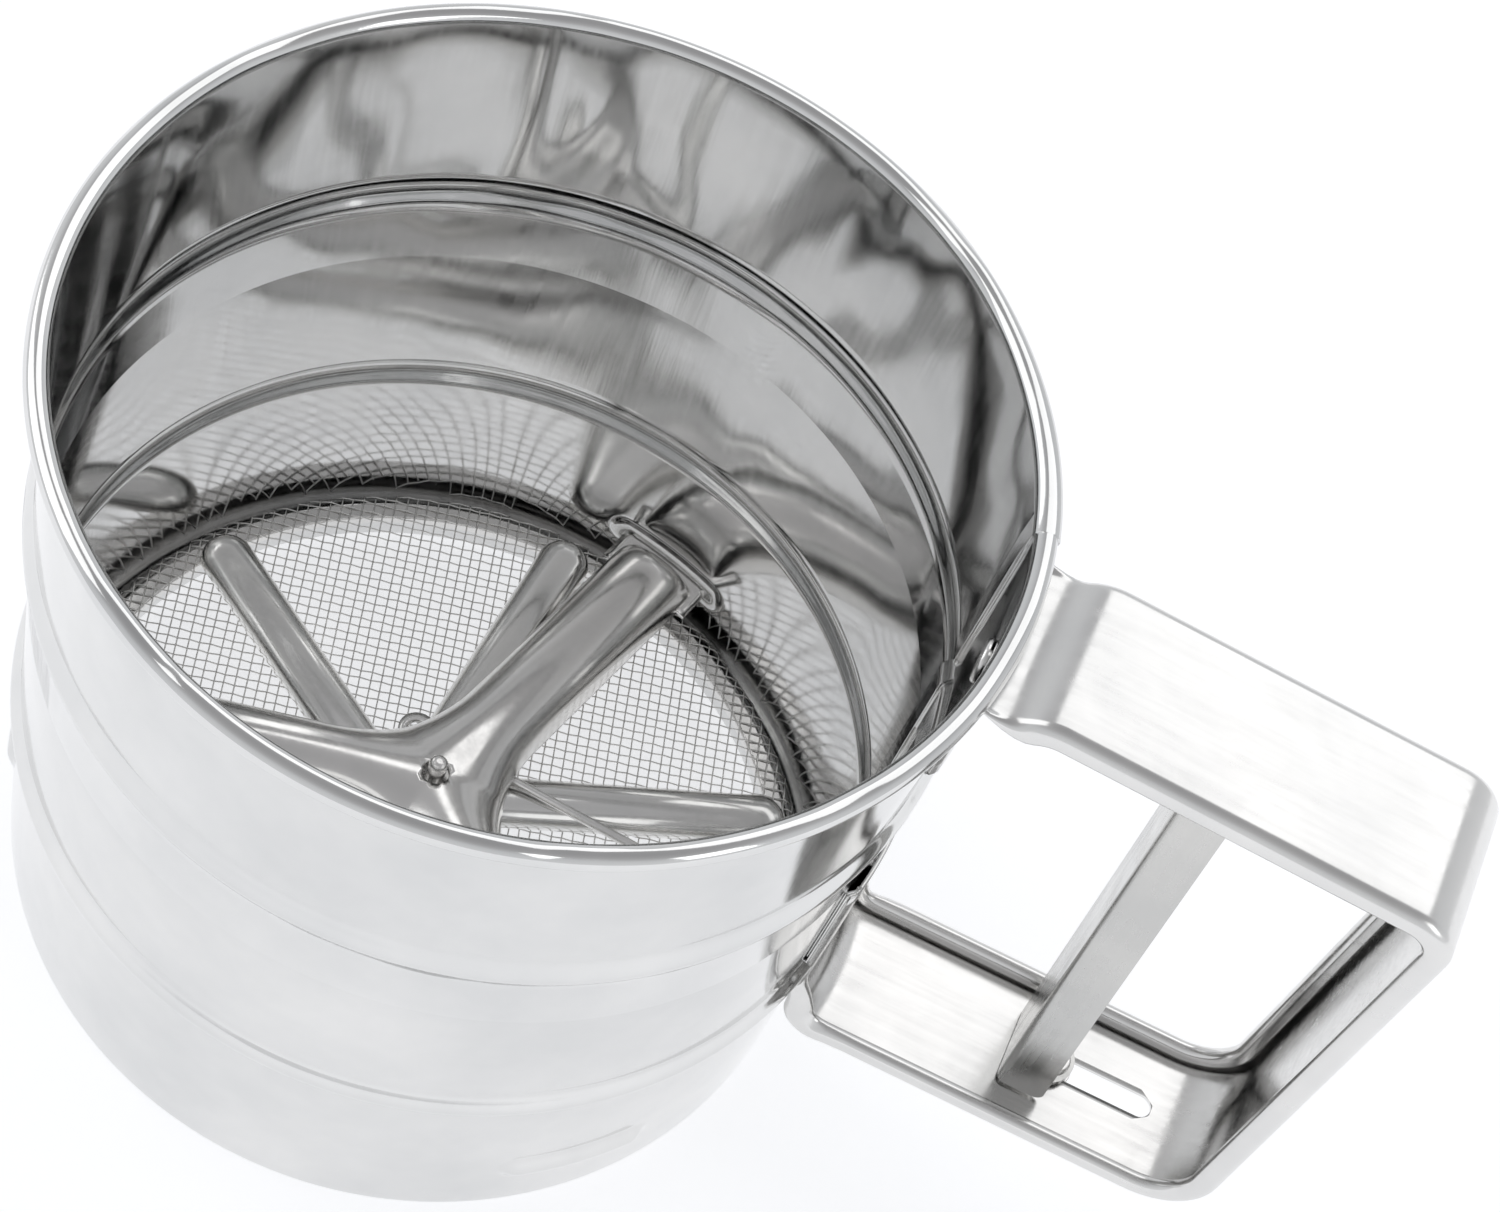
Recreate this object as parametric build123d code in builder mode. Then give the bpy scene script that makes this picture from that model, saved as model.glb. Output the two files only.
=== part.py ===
"""Flour sifter squeezed with one hand: a tapered cup with a wire sieve, and a loop handle with a trigger.

Millimetres, Z up. The cup's axis is the Z axis and its bottom rests on Z = 0. The handle points along +X.
Squeezing moves the trigger along +X. The rod behind it turns the agitator over the sieve.
"""

import os
from math import atan2, cos, degrees, radians, sin

from build123d import *

# Cup: one tapered sheet, lapped at a seam, with two beads, a rolled rim and a curled foot.
sheet = 0.5
cup_height = 93.0
foot_radius = 48.7
mouth_radius = 51.8
rim_roll = 1.33
bead_heights = (29.9, 63.8)
bead_rise = 1.1
bead_half = 2.4
foot_curl = 2.2
foot_inner_curl = 1.5
foot_lip_radius = 44.4
foot_lip_top = 4.4
seam_angle = 14.7
seam_width = 3.0
seam_step = 0.45

# Stack inside the cup, from the sieve up to the bridge over the agitator.
sieve_top = 5.8
sieve_thickness = 0.35
agitator_bottom = 6.2
agitator_top = 8.9
rod_height = 9.8
rod_radius = 0.6
bridge_bottom = 10.7
bridge_top = 16.3
pin_top = 19.1

# Ring that clamps the sieve from below.
ring_inner = 43.8
ring_outer = 46.3

# Bridge: a pressed three-armed channel whose feet sit in dimples of the wall.
bridge_angles = (75, 195, 315)
bridge_width = 9.8
bridge_reach = 46.2
bridge_sheet = 0.6
foot_width = 13.3
dimple_roll = 1.9
dimple_rise = 1.0
dimple_half_angle = 8.0

# Agitator: six pressed fingers set beside the axis, and a slotted crank ear.
finger_angles = (25.5, 86.5, 147.5, 205.5, 266.5, 327.5)
finger_offset = 2.2
finger_width = 6.8
finger_reach = 45.5
agitator_sheet = 0.5
hub_radius = 8.5
pin_radius = 1.15
running_gap = 0.08

# Trigger travel and the rod that joins it to the crank.
travel = 11.5
crank = (-4.9, 8.4)
stud = (80.9, 0.8)
rod_bend = (57.0, 5.0)
stud_radius = 1.2
rod_hole_side = 5.8

# Handle: a pressed strip bent into a loop, its edges hemmed inward.
handle_half = 10.6
handle_sheet = 0.6
hem_sheet = 0.5
hem_depth = 3.2
hem_width = 2.0
hem_gap = 0.45
strap_bottom = 16.0
strap_top = 92.6
strap_under_rim = 90.0
grip_bottom = (102.6, strap_bottom)
grip_top = (107.0, 90.0)
handle_standoff = 0.05
rivet_heights = (22.5, 40.0, 84.0)
lower_tab_top = 48.0
upper_tab_bottom = 76.0
joggle_radii = (7.0, 6.0)

# Trigger: a channel with its back to the cup.
trigger_back = 75.4
trigger_depth = 5.9
trigger_half = 5.6
tongue_half = 3.5
trigger_bottom = 16.95
trigger_height = 72.6

os.makedirs("parts", exist_ok=True)


def save(part, name):
    part.label = name
    export_step(part, f"parts/{name}.step")


def wall_radius(z):
    """Outer radius of the cup's plain wall at height z."""
    return foot_radius + (mouth_radius - foot_radius) * z / cup_height


def around(centre, radius, angle):
    """Point at an angle in degrees on a circle in a profile."""
    return (centre[0] + radius * cos(radians(angle)), centre[1] + radius * sin(radians(angle)))


def arc_around(centre, radius, start, end):
    """Arc about a centre between two angles in degrees, for use in a profile."""
    return ThreePointArc(
        around(centre, radius, start),
        around(centre, radius, (start + end) / 2),
        around(centre, radius, end),
    )


def polar(radius, angle, z=0.0):
    return (radius * cos(radians(angle)), radius * sin(radians(angle)), z)


def cone_inside(gap):
    """Solid filling the cup's plain wall out to a gap beyond it. It is used only to trim other pieces."""
    return Pos(0, 0, cup_height / 2) * Cone(
        foot_radius + gap, mouth_radius + gap, cup_height, mode=Mode.PRIVATE
    )


# ---------------------------------------------------------------- cup shell
rim_centre_z = cup_height - rim_roll
rim_centre = (wall_radius(rim_centre_z) + rim_roll - sheet, rim_centre_z)
rim_roll_end = -60


def skin(inset):
    """One face of the cup's sheet, from the foot's lip to the end of the rolled rim."""
    foot = wall_radius(foot_curl)
    Line((foot_lip_radius + inset, foot_lip_top), (foot_lip_radius + inset, foot_inner_curl))
    arc_around((foot_lip_radius + foot_inner_curl, foot_inner_curl), foot_inner_curl - inset, 180, 270)
    Line((foot_lip_radius + foot_inner_curl, inset), (foot - foot_curl, inset))
    arc_around((foot - foot_curl, foot_curl), foot_curl - inset, -90, 0)
    at = (foot - inset, foot_curl)
    for z in bead_heights:
        low = (wall_radius(z - bead_half) - inset, z - bead_half)
        high = (wall_radius(z + bead_half) - inset, z + bead_half)
        Line(at, low)
        Spline(low, (wall_radius(z) + bead_rise - inset, z), high, tangents=[(0, 1), (0, 1)])
        at = high
    roll = rim_roll - sheet + inset
    Line(at, (rim_centre[0] - roll, rim_centre_z))
    arc_around(rim_centre, roll, 180, rim_roll_end)


dimple_z = bridge_bottom + bridge_sheet / 2
dimple_radius = wall_radius(dimple_z) + dimple_rise - dimple_roll
dimples = {}
for side, roll in (("bump", dimple_roll), ("pocket", dimple_roll - sheet)):
    with BuildPart() as dimple:
        for angle in bridge_angles:
            low = polar(dimple_radius, angle - dimple_half_angle, dimple_z)
            high = polar(dimple_radius, angle + dimple_half_angle, dimple_z)
            with BuildLine() as path:
                ThreePointArc(low, polar(dimple_radius, angle, dimple_z), high)
            with BuildSketch(Plane(origin=low, z_dir=path.line % 0)):
                Circle(roll)
            sweep(path=path.line)
            with Locations(low, high):
                Sphere(roll)
    dimples[side] = dimple.part

with BuildPart() as cup_shell:
    with BuildSketch(Plane.XZ):
        with BuildLine():
            skin(0)
            skin(sheet)
            Line((foot_lip_radius, foot_lip_top), (foot_lip_radius + sheet, foot_lip_top))
            Line(
                around(rim_centre, rim_roll - sheet, rim_roll_end),
                around(rim_centre, rim_roll, rim_roll_end),
            )
        make_face()
    revolve(axis=Axis.Z)
    add(dimples["bump"] - cone_inside(-sheet / 2))
    add(dimples["pocket"], mode=Mode.SUBTRACT)
    # Folded seam standing inside the wall.
    seam_low, seam_high = 7.0, cup_height - 2.2
    lean = degrees(atan2(wall_radius(seam_high) - wall_radius(seam_low), seam_high - seam_low))
    seam_middle = (seam_low + seam_high) / 2
    seam_radius = wall_radius(seam_middle) - sheet + 0.15
    with Locations(Location(polar(seam_radius, seam_angle, seam_middle), (0, lean, seam_angle))):
        Box(
            seam_step + 0.15, seam_width, seam_high - seam_low,
            align=(Align.MAX, Align.CENTER, Align.CENTER),
        )
    # Hole for the pull rod, and holes for the handle's rivets.
    with Locations(Location((wall_radius(rod_height) - 1, rod_hole_side, rod_height), (0, 90, 0))):
        Cylinder(rod_radius + 0.85, 4, mode=Mode.SUBTRACT)
    for z in rivet_heights:
        with Locations(Location((wall_radius(z), 0, z), (0, 90, 0))):
            Cylinder(1.55, 4, mode=Mode.SUBTRACT)
save(cup_shell.part, "cup_shell")

# ---------------------------------------------------------------- sieve and its ring
with BuildPart() as mesh_ring:
    with BuildSketch(Plane.XZ):
        with BuildLine():
            top = sieve_top - sieve_thickness - 0.03
            Polyline(
                (ring_inner, top - 1.1), (ring_inner, top), (ring_outer, top), (ring_outer, 0.55),
                (ring_outer - 0.5, 0.55), (ring_outer - 0.5, top - 0.5),
                (ring_inner + 0.45, top - 0.5), (ring_inner + 0.45, top - 1.1), close=True,
            )
        make_face()
    revolve(axis=Axis.Z)
    rounded = mesh_ring.edges().filter_by(GeomType.CIRCLE).group_by(Axis.Z)[-1]
    fillet(rounded, radius=0.4)
save(mesh_ring.part, "mesh_ring")

with BuildPart() as mesh_screen:
    with BuildSketch(Plane.XZ):
        with BuildLine():
            skirt = ring_outer + 0.1 + sieve_thickness
            bend = 0.75
            Line((0, sieve_top), (skirt - bend, sieve_top))
            arc_around((skirt - bend, sieve_top - bend), bend, 90, 0)
            Polyline(
                (skirt, sieve_top - bend), (skirt, 2.6), (skirt - sieve_thickness, 2.6),
                (skirt - sieve_thickness, sieve_top - bend),
            )
            arc_around((skirt - bend, sieve_top - bend), bend - sieve_thickness, 0, 90)
            Polyline(
                (skirt - bend, sieve_top - sieve_thickness), (0, sieve_top - sieve_thickness),
                (0, sieve_top),
            )
        make_face()
    revolve(axis=Axis.Z)
save(mesh_screen.part, "mesh_screen")

# ---------------------------------------------------------------- bridge
with BuildPart() as bridge:
    with BuildSketch(Plane.XY.offset(bridge_bottom)) as bridge_plan:
        for angle in bridge_angles:
            with Locations(Location((0, 0, 0), (0, 0, angle))):
                Rectangle(bridge_reach, bridge_width, align=(Align.MIN, Align.CENTER))
        corners = bridge_plan.vertices().sort_by_distance((0, 0, bridge_bottom))
        fillet(corners[:3], radius=19)
        ends = bridge_plan.vertices().sort_by_distance((0, 0, bridge_bottom))[-6:]
        fillet(ends, radius=4.2)
    extrude(amount=bridge_top - bridge_bottom)
    fillet(bridge.faces().sort_by(Axis.Z)[-1].edges(), radius=4.0)
    offset(amount=-bridge_sheet, openings=bridge.faces().sort_by(Axis.Z)[0])
    with BuildSketch(Plane.XY.offset(bridge_bottom)):
        tab_radius = wall_radius(bridge_bottom) + 0.05
        Circle(tab_radius)
        Circle(bridge_reach - 2.0, mode=Mode.SUBTRACT)
        with BuildSketch(Plane.XY, mode=Mode.INTERSECT):
            for angle in bridge_angles:
                with Locations(Location((0, 0, 0), (0, 0, angle))):
                    Rectangle(60, foot_width, align=(Align.MIN, Align.CENTER))
    extrude(amount=bridge_sheet)
    with Locations((0, 0, bridge_top)):
        Cylinder(pin_radius + running_gap, 3, mode=Mode.SUBTRACT)
save(bridge.part, "bridge")

# ---------------------------------------------------------------- agitator
with BuildPart() as agitator:
    with BuildSketch(Plane.XY.offset(agitator_bottom)) as fingers:
        Circle(hub_radius)
        for angle in finger_angles:
            with Locations(Location((0, 0, 0), (0, 0, angle))):
                with Locations((0, finger_offset)):
                    Rectangle(
                        finger_reach - finger_width / 2, finger_width, align=(Align.MIN, Align.CENTER)
                    )
                with Locations((finger_reach - finger_width / 2, finger_offset)):
                    Circle(finger_width / 2)
    extrude(amount=agitator_top - agitator_bottom)
    fillet(agitator.faces().sort_by(Axis.Z)[-1].edges(), radius=1.8)
    offset(amount=-agitator_sheet, openings=agitator.faces().sort_by(Axis.Z)[0])
    # Crank ear with a slot along its length for the rod's bent end.
    crank_angle = degrees(atan2(crank[1], crank[0]))
    crank_radius = (crank[0] ** 2 + crank[1] ** 2) ** 0.5
    slot_start, slot_end = crank[1] - rod_radius - 0.3, crank_radius + rod_radius + 1.35
    slot_width = 2 * (rod_radius + 0.6)
    with BuildSketch(Plane.XY.offset(agitator_top - agitator_sheet)):
        with Locations(Location((0, 0, 0), (0, 0, crank_angle))):
            Rectangle(slot_end, slot_width + 2.4, align=(Align.MIN, Align.CENTER))
            with Locations((slot_end - slot_width / 2, 0)):
                Circle(slot_width / 2 + 1.2)
    extrude(amount=agitator_sheet)
    with BuildSketch(Plane.XY.offset(agitator_bottom - 1)):
        with Locations(Location((0, 0, 0), (0, 0, crank_angle))):
            with Locations(((slot_start + slot_end) / 2, 0)):
                SlotOverall(slot_end - slot_start, slot_width)
    extrude(amount=5, mode=Mode.SUBTRACT)
    with Locations((0, 0, agitator_top)):
        Cylinder(pin_radius + 0.02, 4, mode=Mode.SUBTRACT)
save(agitator.part, "agitator")

with BuildPart() as pivot_pin:
    shoulder_top = agitator_top - agitator_sheet - 0.02
    with Locations((0, 0, shoulder_top)):
        Cylinder(pin_radius, pin_top - shoulder_top, align=(Align.CENTER, Align.CENTER, Align.MIN))
    fillet(pivot_pin.edges().group_by(Axis.Z)[-1], radius=0.8)
    with Locations((0, 0, shoulder_top)):
        Cylinder(2.7, 1.2, align=(Align.CENTER, Align.CENTER, Align.MAX))
    chamfer(pivot_pin.edges().group_by(Axis.Z)[0], length=0.3)
save(pivot_pin.part, "pivot_pin")

with BuildPart() as thrust_washer:
    with Locations((0, 0, agitator_top + 0.02)):
        Cylinder(3.2, 0.5, align=(Align.CENTER, Align.CENTER, Align.MIN))
    fillet(thrust_washer.edges(), radius=0.12)
    Cylinder(pin_radius + 0.05, 40, mode=Mode.SUBTRACT)
save(thrust_washer.part, "thrust_washer")

# ---------------------------------------------------------------- return spring round the pin
with BuildPart() as return_spring:
    wire, coil_radius, pitch, turns = 0.27, 2.3, 0.72, 4
    coil_bottom = agitator_top + 1.15
    with BuildLine() as coil:
        turns_line = Helix(pitch, pitch * turns, coil_radius, center=(0, 0, coil_bottom))
        Line(turns_line @ 0 - turns_line % 0 * 6.0, turns_line @ 0)
        Line(turns_line @ 1, turns_line @ 1 + turns_line % 1 * 2.2)
    spring_path = coil.wires()[0]
    with BuildSketch(Plane(origin=spring_path @ 0, z_dir=spring_path % 0)):
        Circle(wire)
    sweep(path=spring_path, is_frenet=True)
save(return_spring.part, "return_spring")

# ---------------------------------------------------------------- handle


def cup_body(gap):
    """Solid that fills the cup with its beads out to a gap beyond the wall. It only trims other pieces."""
    with BuildPart(mode=Mode.PRIVATE) as body:
        with BuildSketch(Plane.XZ):
            with BuildLine():
                at = (foot_radius + gap, 0)
                Line((0, 0), at)
                for z in bead_heights:
                    low = (wall_radius(z - bead_half) + gap, z - bead_half)
                    high = (wall_radius(z + bead_half) + gap, z + bead_half)
                    Line(at, low)
                    Spline(low, (wall_radius(z) + bead_rise + gap, z), high, tangents=[(0, 1), (0, 1)])
                    at = high
                Polyline(at, (mouth_radius + gap, cup_height), (0, cup_height), (0, 0))
            make_face()
        revolve(axis=Axis.Z)
    return body.part


def loop_block(inset, half, start=47.7):
    """The handle's outline, moved in by inset, as a block from -half to half across the handle."""
    with BuildPart(mode=Mode.PRIVATE) as block:
        with BuildSketch(Plane.XZ) as outline:
            with BuildLine():
                Polyline(
                    (start, strap_bottom), grip_bottom, grip_top, (59.2, strap_top),
                    (55.6, strap_under_rim), (start, strap_under_rim), close=True,
                )
            make_face()
            for corner, radius in (
                ((start, strap_bottom), 5.5), (grip_bottom, 9), (grip_top, 6),
                ((59.2, strap_top), joggle_radii[0]), ((55.6, strap_under_rim), joggle_radii[1]),
            ):
                fillet(outline.vertices().sort_by_distance((*corner, 0))[0], radius=radius)
            if inset:
                offset(amount=-inset, kind=Kind.INTERSECTION, mode=Mode.REPLACE)
        extrude(amount=half, both=True)
    return block.part


cup_clearance = cup_body(handle_standoff)
cup_with_tab = cup_body(handle_standoff + handle_sheet)


def loop_inside(inset, half):
    """The space inside the handle at a depth from its face, as far as the tabs on the cup's wall."""
    return loop_block(inset, half, start=40) - cup_with_tab


def hem_band(start, end, inner, outer):
    """Region between two depths inside the loop, over both hems' widths from inner to outer."""
    middle = (inner + outer) / 2
    with BuildPart(mode=Mode.PRIVATE) as slabs:
        with Locations((80, middle, 55), (80, -middle, 55)):
            Box(120, outer - inner, 120)
    return (loop_inside(start, handle_half) - loop_inside(end, handle_half)) & slabs.part


# The strap with its side walls, then each hem's bottom and the inner leg that stops short of the strap.
hem_inner = handle_half - hem_width
strap_hollow = loop_inside(handle_sheet, handle_half - hem_sheet)
hem_bottom = hem_band(hem_depth - hem_sheet, hem_depth + 1, hem_inner, handle_half - hem_sheet / 2)
hem_leg = hem_band(handle_sheet + hem_gap, hem_depth + 1, hem_inner, hem_inner + hem_sheet)
handle_opening = loop_inside(hem_depth, 2 * handle_half)
with BuildPart() as handle:
    add(loop_block(0, handle_half))
    fillet(handle.edges().filter_by(lambda e: abs(abs(e.center().Y) - handle_half) < 1e-3), radius=1.2)
    add(strap_hollow, mode=Mode.SUBTRACT)
    add(hem_bottom)
    add(hem_leg)
    add(handle_opening, mode=Mode.SUBTRACT)
    add(cup_clearance, mode=Mode.SUBTRACT)
    # Slot that guides the trigger, and holes for the rivets.
    slot_half = stud_radius + 0.3
    with BuildSketch(Plane.XY.offset(strap_bottom - 1)):
        with Locations((stud[0] + travel / 2, stud[1])):
            SlotCenterToCenter(travel + 0.2, 2 * slot_half)
    extrude(amount=3, mode=Mode.SUBTRACT)
    for z in rivet_heights:
        with Locations(Location((wall_radius(z), 0, z), (0, 90, 0))):
            Cylinder(1.55, 4, mode=Mode.SUBTRACT)
    # The strip ends in two tabs that lie on the wall, with bare wall between them.
    with Locations((wall_radius(upper_tab_bottom), 0, lower_tab_top)):
        Box(
            20, 4 * handle_half, upper_tab_bottom - lower_tab_top,
            align=(Align.CENTER, Align.CENTER, Align.MIN), mode=Mode.SUBTRACT,
        )
save(handle.part, "handle")

with BuildPart() as handle_rivets:
    rivet_length = sheet + handle_standoff + handle_sheet + 0.3
    for z in rivet_heights:
        inner_end = wall_radius(z) - sheet - 0.15
        with Locations(Location((inner_end, 0, z), (0, 90, 0))):
            Cylinder(1.5, rivet_length, align=(Align.CENTER, Align.CENTER, Align.MIN))
            Cylinder(2.6, 0.6, align=(Align.CENTER, Align.CENTER, Align.MAX))
        with Locations(Location((inner_end + rivet_length, 0, z), (0, 90, 0))):
            Cylinder(2.3, 0.35, align=(Align.CENTER, Align.CENTER, Align.MIN))
        circles = handle_rivets.edges().filter_by(GeomType.CIRCLE)
        circles = circles.filter_by(lambda e: abs(e.arc_center.Z - z) < 0.1).sort_by(lambda e: e.arc_center.X)
        fillet(circles[0], radius=0.5)
        fillet(circles[-1], radius=0.3)
save(handle_rivets.part, "handle_rivets")

# ---------------------------------------------------------------- trigger
with BuildPart() as trigger:
    wall = 0.6
    with Locations((trigger_back, stud[1], trigger_bottom)):
        Box(trigger_depth, 2 * trigger_half, trigger_height, align=(Align.MIN, Align.CENTER, Align.MIN))
    back_edges = trigger.edges().filter_by(Axis.Z).group_by(Axis.X)[0]
    fillet(back_edges, radius=1.1)
    with Locations((trigger_back + wall, stud[1], trigger_bottom)):
        Box(
            trigger_depth, 2 * (trigger_half - wall), 90,
            align=(Align.MIN, Align.CENTER, Align.MIN), mode=Mode.SUBTRACT,
        )
    flange_corners = trigger.edges().filter_by(Axis.Y).group_by(Axis.X)[-1]
    fillet(flange_corners, radius=1.4)
    # Tongue that lies on the lower strap, with a hole for the stud.
    tongue_reach = stud[0] - 0.9 - trigger_back
    with BuildSketch(Plane.XY.offset(trigger_bottom)):
        with Locations((trigger_back, stud[1])):
            Rectangle(tongue_reach, 2 * tongue_half, align=(Align.MIN, Align.CENTER))
        with Locations((trigger_back + tongue_reach, stud[1])):
            Circle(tongue_half)
    extrude(amount=wall)
    with Locations((*stud, trigger_bottom)):
        Cylinder(stud_radius, 5, mode=Mode.SUBTRACT)
    # Shoe that runs between the hems of the upper strap.
    with Locations((trigger_back, 0, trigger_bottom + trigger_height)):
        Box(trigger_depth, 2 * (hem_inner - 0.4), wall, align=(Align.MIN, Align.CENTER, Align.MAX))
save(trigger.part, "trigger")

with BuildPart() as guide_stud:
    stud_end = rod_height - 1.7
    with Locations((*stud, stud_end)):
        Cylinder(
            stud_radius - 0.02, trigger_bottom + wall + 0.5 - stud_end,
            align=(Align.CENTER, Align.CENTER, Align.MIN),
        )
    with Locations((*stud, trigger_bottom + wall + 0.02)):
        Cylinder(2.1, 0.5, align=(Align.CENTER, Align.CENTER, Align.MIN))
    fillet(guide_stud.edges().group_by(Axis.Z)[-1], radius=0.4)
save(guide_stud.part, "guide_stud")

with BuildPart() as stud_washer:
    with Locations((*stud, strap_bottom - 0.35)):
        Cylinder(2.8, 0.6, align=(Align.CENTER, Align.CENTER, Align.MAX))
    fillet(stud_washer.edges(), radius=0.15)
    with Locations((*stud, 10)):
        Cylinder(stud_radius + 0.02, 20, mode=Mode.SUBTRACT)
save(stud_washer.part, "stud_washer")

with BuildPart() as rod_retainer:
    with Locations((*stud, rod_height - 0.75)):
        Cylinder(2.3, 0.5, align=(Align.CENTER, Align.CENTER, Align.MAX))
    fillet(rod_retainer.edges(), radius=0.15)
    with Locations((*stud, 10)):
        Cylinder(stud_radius, 20, mode=Mode.SUBTRACT)
save(rod_retainer.part, "rod_retainer")

# ---------------------------------------------------------------- pull rod
with BuildPart() as pull_rod:
    eye_radius = stud_radius + 0.03 + rod_radius
    dx, dy = stud[0] - rod_bend[0], stud[1] - rod_bend[1]
    reach = (dx**2 + dy**2) ** 0.5
    eye_start = (stud[0] - dx / reach * eye_radius, stud[1] - dy / reach * eye_radius)
    with BuildLine() as run:
        FilletPolyline(
            (*crank, rod_height - 3.1), (*crank, rod_height),
            (*rod_bend, rod_height), (*eye_start, rod_height),
            radius=1.0,
        )
    with BuildSketch(Plane(origin=run.wires()[0] @ 0, z_dir=run.wires()[0] % 0)):
        Circle(rod_radius)
    sweep(path=run.wires()[0])
    with Locations((*stud, rod_height)):
        Torus(eye_radius, rod_radius)
save(pull_rod.part, "pull_rod")
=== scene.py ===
"""Flour sifter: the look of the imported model. Metres, Z up, in the model's own frame."""
import math

import bmesh
import bpy
import numpy as np
from mathutils import Matrix, Vector


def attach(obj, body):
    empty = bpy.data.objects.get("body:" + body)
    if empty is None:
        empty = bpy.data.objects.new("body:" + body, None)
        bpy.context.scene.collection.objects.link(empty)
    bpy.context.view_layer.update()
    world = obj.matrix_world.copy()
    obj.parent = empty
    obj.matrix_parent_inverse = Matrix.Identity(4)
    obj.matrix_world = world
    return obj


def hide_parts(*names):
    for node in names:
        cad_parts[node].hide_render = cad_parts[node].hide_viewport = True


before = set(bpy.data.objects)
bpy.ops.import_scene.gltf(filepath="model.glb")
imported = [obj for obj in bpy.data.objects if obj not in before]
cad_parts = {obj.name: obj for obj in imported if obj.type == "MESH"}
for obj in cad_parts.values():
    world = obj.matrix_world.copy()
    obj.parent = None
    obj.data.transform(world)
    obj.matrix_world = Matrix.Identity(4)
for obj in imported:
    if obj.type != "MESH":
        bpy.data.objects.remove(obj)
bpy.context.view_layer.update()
MM = 0.001


# ---------------------------------------------------------------- camera
AZIMUTH, ELEVATION, ROLL = (math.radians(a) for a in (2.4, 54.22, 23.76))
DISTANCE = 0.38223
TARGET = Vector((0.02639, -0.00176, 0.07721))
LENS = 87.2
SENSOR = 36.0


def make_camera():
    """Camera at an azimuth, elevation and roll round the target."""
    back = Vector((
        math.sin(AZIMUTH) * math.cos(ELEVATION),
        -math.cos(AZIMUTH) * math.cos(ELEVATION),
        math.sin(ELEVATION),
    ))
    right = Vector((math.cos(AZIMUTH), math.sin(AZIMUTH), 0))
    up = back.cross(right)
    turned_right = right * math.cos(ROLL) + up * math.sin(ROLL)
    turned_up = up * math.cos(ROLL) - right * math.sin(ROLL)
    place = TARGET + back * DISTANCE
    data = bpy.data.cameras.new("camera")
    data.sensor_width = SENSOR
    data.lens = LENS
    data.clip_start = 0.01
    data.clip_end = 20
    camera = bpy.data.objects.new("camera", data)
    bpy.context.scene.collection.objects.link(camera)
    turn = Matrix((turned_right, turned_up, back)).transposed()
    camera.matrix_world = Matrix.Translation(place) @ turn.to_4x4()
    bpy.context.scene.camera = camera


make_camera()


# ---------------------------------------------------------------- materials
class Nodes:
    """Short calls for building one material's node tree."""

    def __init__(self, name):
        self.material = bpy.data.materials.new(name)
        self.material.use_nodes = True
        self.tree = self.material.node_tree
        self.shader = self.tree.nodes["Principled BSDF"]

    def add(self, kind, **settings):
        node = self.tree.nodes.new(kind)
        for key, value in settings.items():
            setattr(node, key, value)
        return node

    def link(self, a, b):
        self.tree.links.new(a, b)

    def noise(self, scale, stretch=(1, 1, 1), detail=3.0, rough=0.5, distortion=0.0, turn=(0, 0, 0)):
        """Noise with scale counted per metre of object space, squeezed along each axis by stretch."""
        coords = self.add("ShaderNodeTexCoord")
        mapping = self.add("ShaderNodeMapping")
        mapping.inputs["Scale"].default_value = stretch
        mapping.inputs["Rotation"].default_value = turn
        noise = self.add("ShaderNodeTexNoise")
        noise.inputs["Scale"].default_value = scale
        noise.inputs["Detail"].default_value = detail
        noise.inputs["Roughness"].default_value = rough
        noise.inputs["Distortion"].default_value = distortion
        self.link(coords.outputs["Object"], mapping.inputs["Vector"])
        self.link(mapping.outputs["Vector"], noise.inputs["Vector"])
        return noise.outputs["Fac"]

    def height(self):
        """Height above the foot, in metres of object space."""
        coords, split = self.add("ShaderNodeTexCoord"), self.add("ShaderNodeSeparateXYZ")
        self.link(coords.outputs["Object"], split.inputs[0])
        return split.outputs["Z"]

    def spread(self, value, low, high, start=0.3, end=0.7):
        """Maps a value from start..end to low..high."""
        node = self.add("ShaderNodeMapRange")
        node.inputs["From Min"].default_value = start
        node.inputs["From Max"].default_value = end
        node.inputs["To Min"].default_value = low
        node.inputs["To Max"].default_value = high
        self.link(value, node.inputs["Value"])
        return node.outputs["Result"]

    def ramp(self, value, stops):
        node = self.add("ShaderNodeValToRGB")
        ramp = node.color_ramp
        while len(ramp.elements) < len(stops):
            ramp.elements.new(0.5)
        for element, (at, colour) in zip(ramp.elements, stops):
            element.position = at
            element.color = (*colour, 1)
        self.link(value, node.inputs["Fac"])
        return node.outputs["Color"]

    def bump(self, height, strength, distance, before=None):
        node = self.add("ShaderNodeBump")
        node.inputs["Strength"].default_value = strength
        node.inputs["Distance"].default_value = distance
        self.link(height, node.inputs["Height"])
        if before is not None:
            self.link(before, node.inputs["Normal"])
        return node.outputs["Normal"]


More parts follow.
